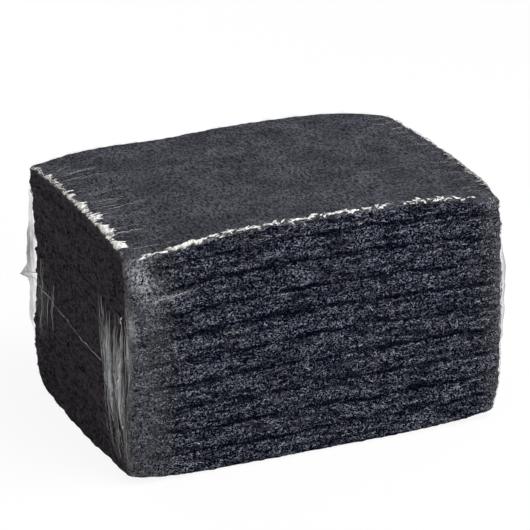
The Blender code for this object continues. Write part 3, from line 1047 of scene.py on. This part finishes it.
def hazeField(centre, facing, height):
    # where the tight film is faintly misted over the front
    look = hazeLook
    fromLeft = centre[..., 0] + flatX
    across = fromLeft + filmCorner * (1 + facing[..., 0])
    begin, end, strength = look["left"]
    width, rightStrength = look["right"]
    level, slant = look["patchSlant"]
    haze = strength * (1 - ramp(fromLeft, begin, end))
    haze += rightStrength * clamp(1 - (flatX - centre[..., 0]) / width)
    haze += hump(across - slant * (level - height), *look["patch"]) * hump(height, *look["patchHeight"])
    haze += hump(across, *look["stroke"]) * hump(height, *look["strokeHeight"])
    return haze * (facing[..., 1] < -0.2)


def makeFilm(clearFilm):
    look = filmLook
    along = spreadAlong(filmSpacing)
    offset = stack["skinOffset"]
    rims = (stack["footRim"] + offset, filmRim)
    profile = slabProfile(-offset, stackHeight + offset, rims, *look["steps"])
    grid, outward = slabGrid(along, profile, filmCorner)
    shape = grid.shape[:2]
    height = np.broadcast_to(profile[2][:, None], shape)
    centre, facing = (np.broadcast_to(values, shape + (2,)) for values in outlineAt(along))
    share, tilt = profile[0][:, None], profile[3][:, None]
    onWall = np.cos(tilt) * (share == 1)
    out, (gather, flap), flare, bubble = filmSwell(centre, facing, height)
    lumps = filmLumps(grid) * (tilt > -0.5)
    grid = settled(grid) + outward * (out * onWall + lumps)[..., None]
    rim = np.sin(2 * np.abs(tilt)) * (share == 1) * (tilt > 0)
    mass = hump(centre[..., 1] + flatY, *hazeLook["mass"]) * hump(height, *hazeLook["massHeight"])
    mass *= np.abs(facing[..., 0]) > 0.5
    pale = 0.34 + 0.4 * ramp(centre[..., 0], 0, flatX)
    upper = ramp(height, 0.043, 0.055)  # the loose film is greyer above its ear
    thin = gather * (1 - 0.5 * flap)
    cover = (0.8 * thin + mass + (0.7 + 0.25 * upper) * flare + 0.45 * bubble) * onWall + 0.12 * rim
    fields = {
        # the gathers' milky grey: folded film, and partly painted reflection of their many fold facets
        "milkAndHighlight": clamp((thin * pale + (0.55 - 0.2 * upper) * flare + 0.85 * bubble) * onWall),
        "cover": clamp(cover),
        "haze": hazeField(centre, facing, height) * onWall,
        "flap": flap * onWall,
    }
    fields = {name: withPoles(values, shape) for name, values in fields.items()}
    makers = rimStreaks, paintedEdgeGlints, stretchLines, seamLine, gatherLines, cornerCreases, ventRings
    sets = [found for maker in makers for found in maker()]
    made = joinedMesh("film_wrap", closeRings(grid), ringFaces(*shape), fields, sets, (clearFilm,), 0.6)
    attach(made, "root")
    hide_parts("shrink_wrap")
    return made


filmFinish = {
    "plain": (0.012, 0.012, 0.014),
    # the film's milky white, which also paints the highlights of its rim streaks and glints
    "milkAndHighlight": (0.97, 0.95, 0.91),
    "veil": (0.31, 0.32, 0.365),
    "clearCover": 0.01,
    "veilCover": 0.6,
    "roughness": (0.16, 0.7),  # where it is clear, and where it is white
    "indexOfRefraction": 1.7,
    "uprightGrain": ((1.0, 1.0, 0.07), 1300.0, 2.0),  # stretch, scale and detail
    "streaks": (0.32, 0.68, 0.6, 1.15),
    "flaps": (0.36, 0.61, 0.2, 0.86),
    "mist": ((1.0, 1.0, 0.8), 900.0, 4.0, 0.8),
    "mistRange": (0.38, 0.64, 0.12, 1.35),
    "crinkles": (750.0, 3.0, 0.6),
    "flapCrinkles": (0.38, 0.62, 0.72, 1.22),
    "coverCrinkles": (0.05, 0.4, 0.1, 1.0),
    "bump": (0.6, 0.00022),
}


def filmMaterial(name, look):
    made, tree = newMaterial(name)
    place = placeNode(tree)
    stretch, *spread = look["uprightGrain"]
    upright = noiseNode(tree, mapped(tree, place, stretch), *spread)
    streak = rangeNode(tree, upright, *look["streaks"])
    milkAndHighlight, cover = (times(tree, fieldNode(tree, field), streak, limit=True) for field in ("milkAndHighlight", "cover"))
    stretch, *spread = look["mist"]
    mist = noiseNode(tree, mapped(tree, place, stretch), *spread)
    veil = times(tree, fieldNode(tree, "haze"), rangeNode(tree, mist, *look["mistRange"]))
    crinkle = noiseNode(tree, place, *look["crinkles"])
    # the gathers' broad flaps take the grey veil: folded film, and partly painted reflection of their smooth
    # sheen
    flap = times(tree, fieldNode(tree, "flap"), rangeNode(tree, upright, *look["flaps"]))
    flap = times(tree, flap, rangeNode(tree, crinkle, *look["flapCrinkles"]))
    veil = mathNode(tree, "MAXIMUM", veil, flap)
    cover = mathNode(tree, "MULTIPLY_ADD", veil, look["veilCover"], cover, limit=True)
    cover = mathNode(tree, "MAXIMUM", cover, look["clearCover"])
    colour = mixColour(tree, milkAndHighlight, look["plain"], look["milkAndHighlight"])
    crinkle = times(tree, crinkle, rangeNode(tree, cover, *look["coverCrinkles"]))
    shader = addNode(tree, "BsdfPrincipled", {
        "Base Color": mixColour(tree, veil, colour, look["veil"]),
        "Normal": bumpNode(tree, crinkle, *look["bump"]),
        "Roughness": rangeNode(tree, milkAndHighlight, 0.0, 1.0, *look["roughness"]),
        "IOR": look["indexOfRefraction"],
        "Specular IOR Level": 1.0,
    })
    clear = addNode(tree, "BsdfTransparent")
    showSurface(tree, addNode(tree, "MixShader", {"Fac": cover, 1: clear.outputs[0], 2: shader.outputs[0]}))
    return made


film = makeFilm(filmMaterial("clearFilm", filmFinish))
print("film: wrapped,", len(film.data.polygons), "faces")

# Studio
studio = {
    "azimuth": -23.45,
    "elevation": 23.07,
    "distance": 1.3185,
    "lookAtHeight": 0.045,
    "focalPixels": 3400.0,
    "imageSize": 530.0,
    "shiftPixels": (2.64, 29.19),
    "sensor": 36.0,
    "floorSize": 8.0,
    "floorColour": (0.95, 0.95, 0.95, 1),
    "floorGlow": 0.9,  # share of plain white that the camera sees
    "skyLight": 0.3,
    "lampsAimAt": (0, 0, 0.05),
}


def aimedAt(target, place):
    return (Vector(target) - Vector(place)).to_track_quat("-Z", "Y").to_euler()


def addCamera():
    turn, lift = math.radians(studio["azimuth"]), math.radians(studio["elevation"])
    back = Vector((math.sin(turn) * math.cos(lift), -math.cos(turn) * math.cos(lift), math.sin(lift)))
    target = Vector((0, 0, studio["lookAtHeight"]))
    lens = bpy.data.cameras.new("camera")
    lens.sensor_width = studio["sensor"]
    lens.lens = studio["focalPixels"] / studio["imageSize"] * studio["sensor"]
    lens.shift_x, lens.shift_y = (shift / studio["imageSize"] for shift in studio["shiftPixels"])
    lens.clip_start = 0.01
    camera = linked("camera", lens)
    camera.location = target + back * studio["distance"]
    camera.rotation_euler = aimedAt(target, camera.location)
    bpy.context.scene.camera = camera


def addLamp(name, place, size, watts, colour=(1, 1, 1)):
    light = bpy.data.lights.new(name, "AREA")
    light.shape = "RECTANGLE"
    light.size, light.size_y = size
    light.energy = watts
    light.color = colour
    lamp = linked(name, light)
    lamp.location = place
    lamp.rotation_euler = aimedAt(studio["lampsAimAt"], place)


def seenRays(tree):
    # 1 for the rays that the camera sees, straight, through something clear or mirrored
    rays = addNode(tree, "LightPath").outputs
    seen = mathNode(tree, "MAXIMUM", rays["Is Camera Ray"], rays["Is Transmission Ray"])
    return mathNode(tree, "MAXIMUM", seen, rays["Is Glossy Ray"])


def addFloor():
    half = studio["floorSize"] / 2
    points = np.array([(-half, -half, 0), (half, -half, 0), (half, half, 0), (-half, half, 0)])
    floor = newObject("floor", points, [(0, 1, 2, 3)], smooth=False)
    made, tree = newMaterial("paleFloor")
    plain = addNode(tree, "BsdfDiffuse", {"Color": studio["floorColour"]})
    glow = addNode(tree, "Emission", {"Color": (1, 1, 1, 1)})
    share = times(tree, seenRays(tree), studio["floorGlow"])
    showSurface(tree, addNode(tree, "MixShader", {"Fac": share, 1: plain.outputs[0], 2: glow.outputs[0]}))
    floor.data.materials.append(made)


def addWorld():
    world = bpy.data.worlds.new("studio")
    world.use_nodes = True
    tree = world.node_tree
    tree.nodes.clear()
    strength = mathNode(tree, "MAXIMUM", seenRays(tree), studio["skyLight"])
    sky = addNode(tree, "Background", {"Color": (1, 1, 1, 1), "Strength": strength})
    addNode(tree, "OutputWorld", {"Surface": sky.outputs[0]})
    bpy.context.scene.world = world


addCamera()
addFloor()
addWorld()
addLamp("overhead", (0.28, -0.35, 0.95), (0.8, 0.28), 8.0)
addLamp("backLeft", (-0.35, 0.95, 0.42), (0.35, 0.25), 4.5, (1.0, 0.96, 0.88))
addLamp("front", (0.6, -1.1, 0.5), (0.8, 0.6), 6, (0.93, 0.96, 1.0))
bpy.context.scene.view_settings.view_transform = "Standard"
print("studio: camera, floor and lamps set")
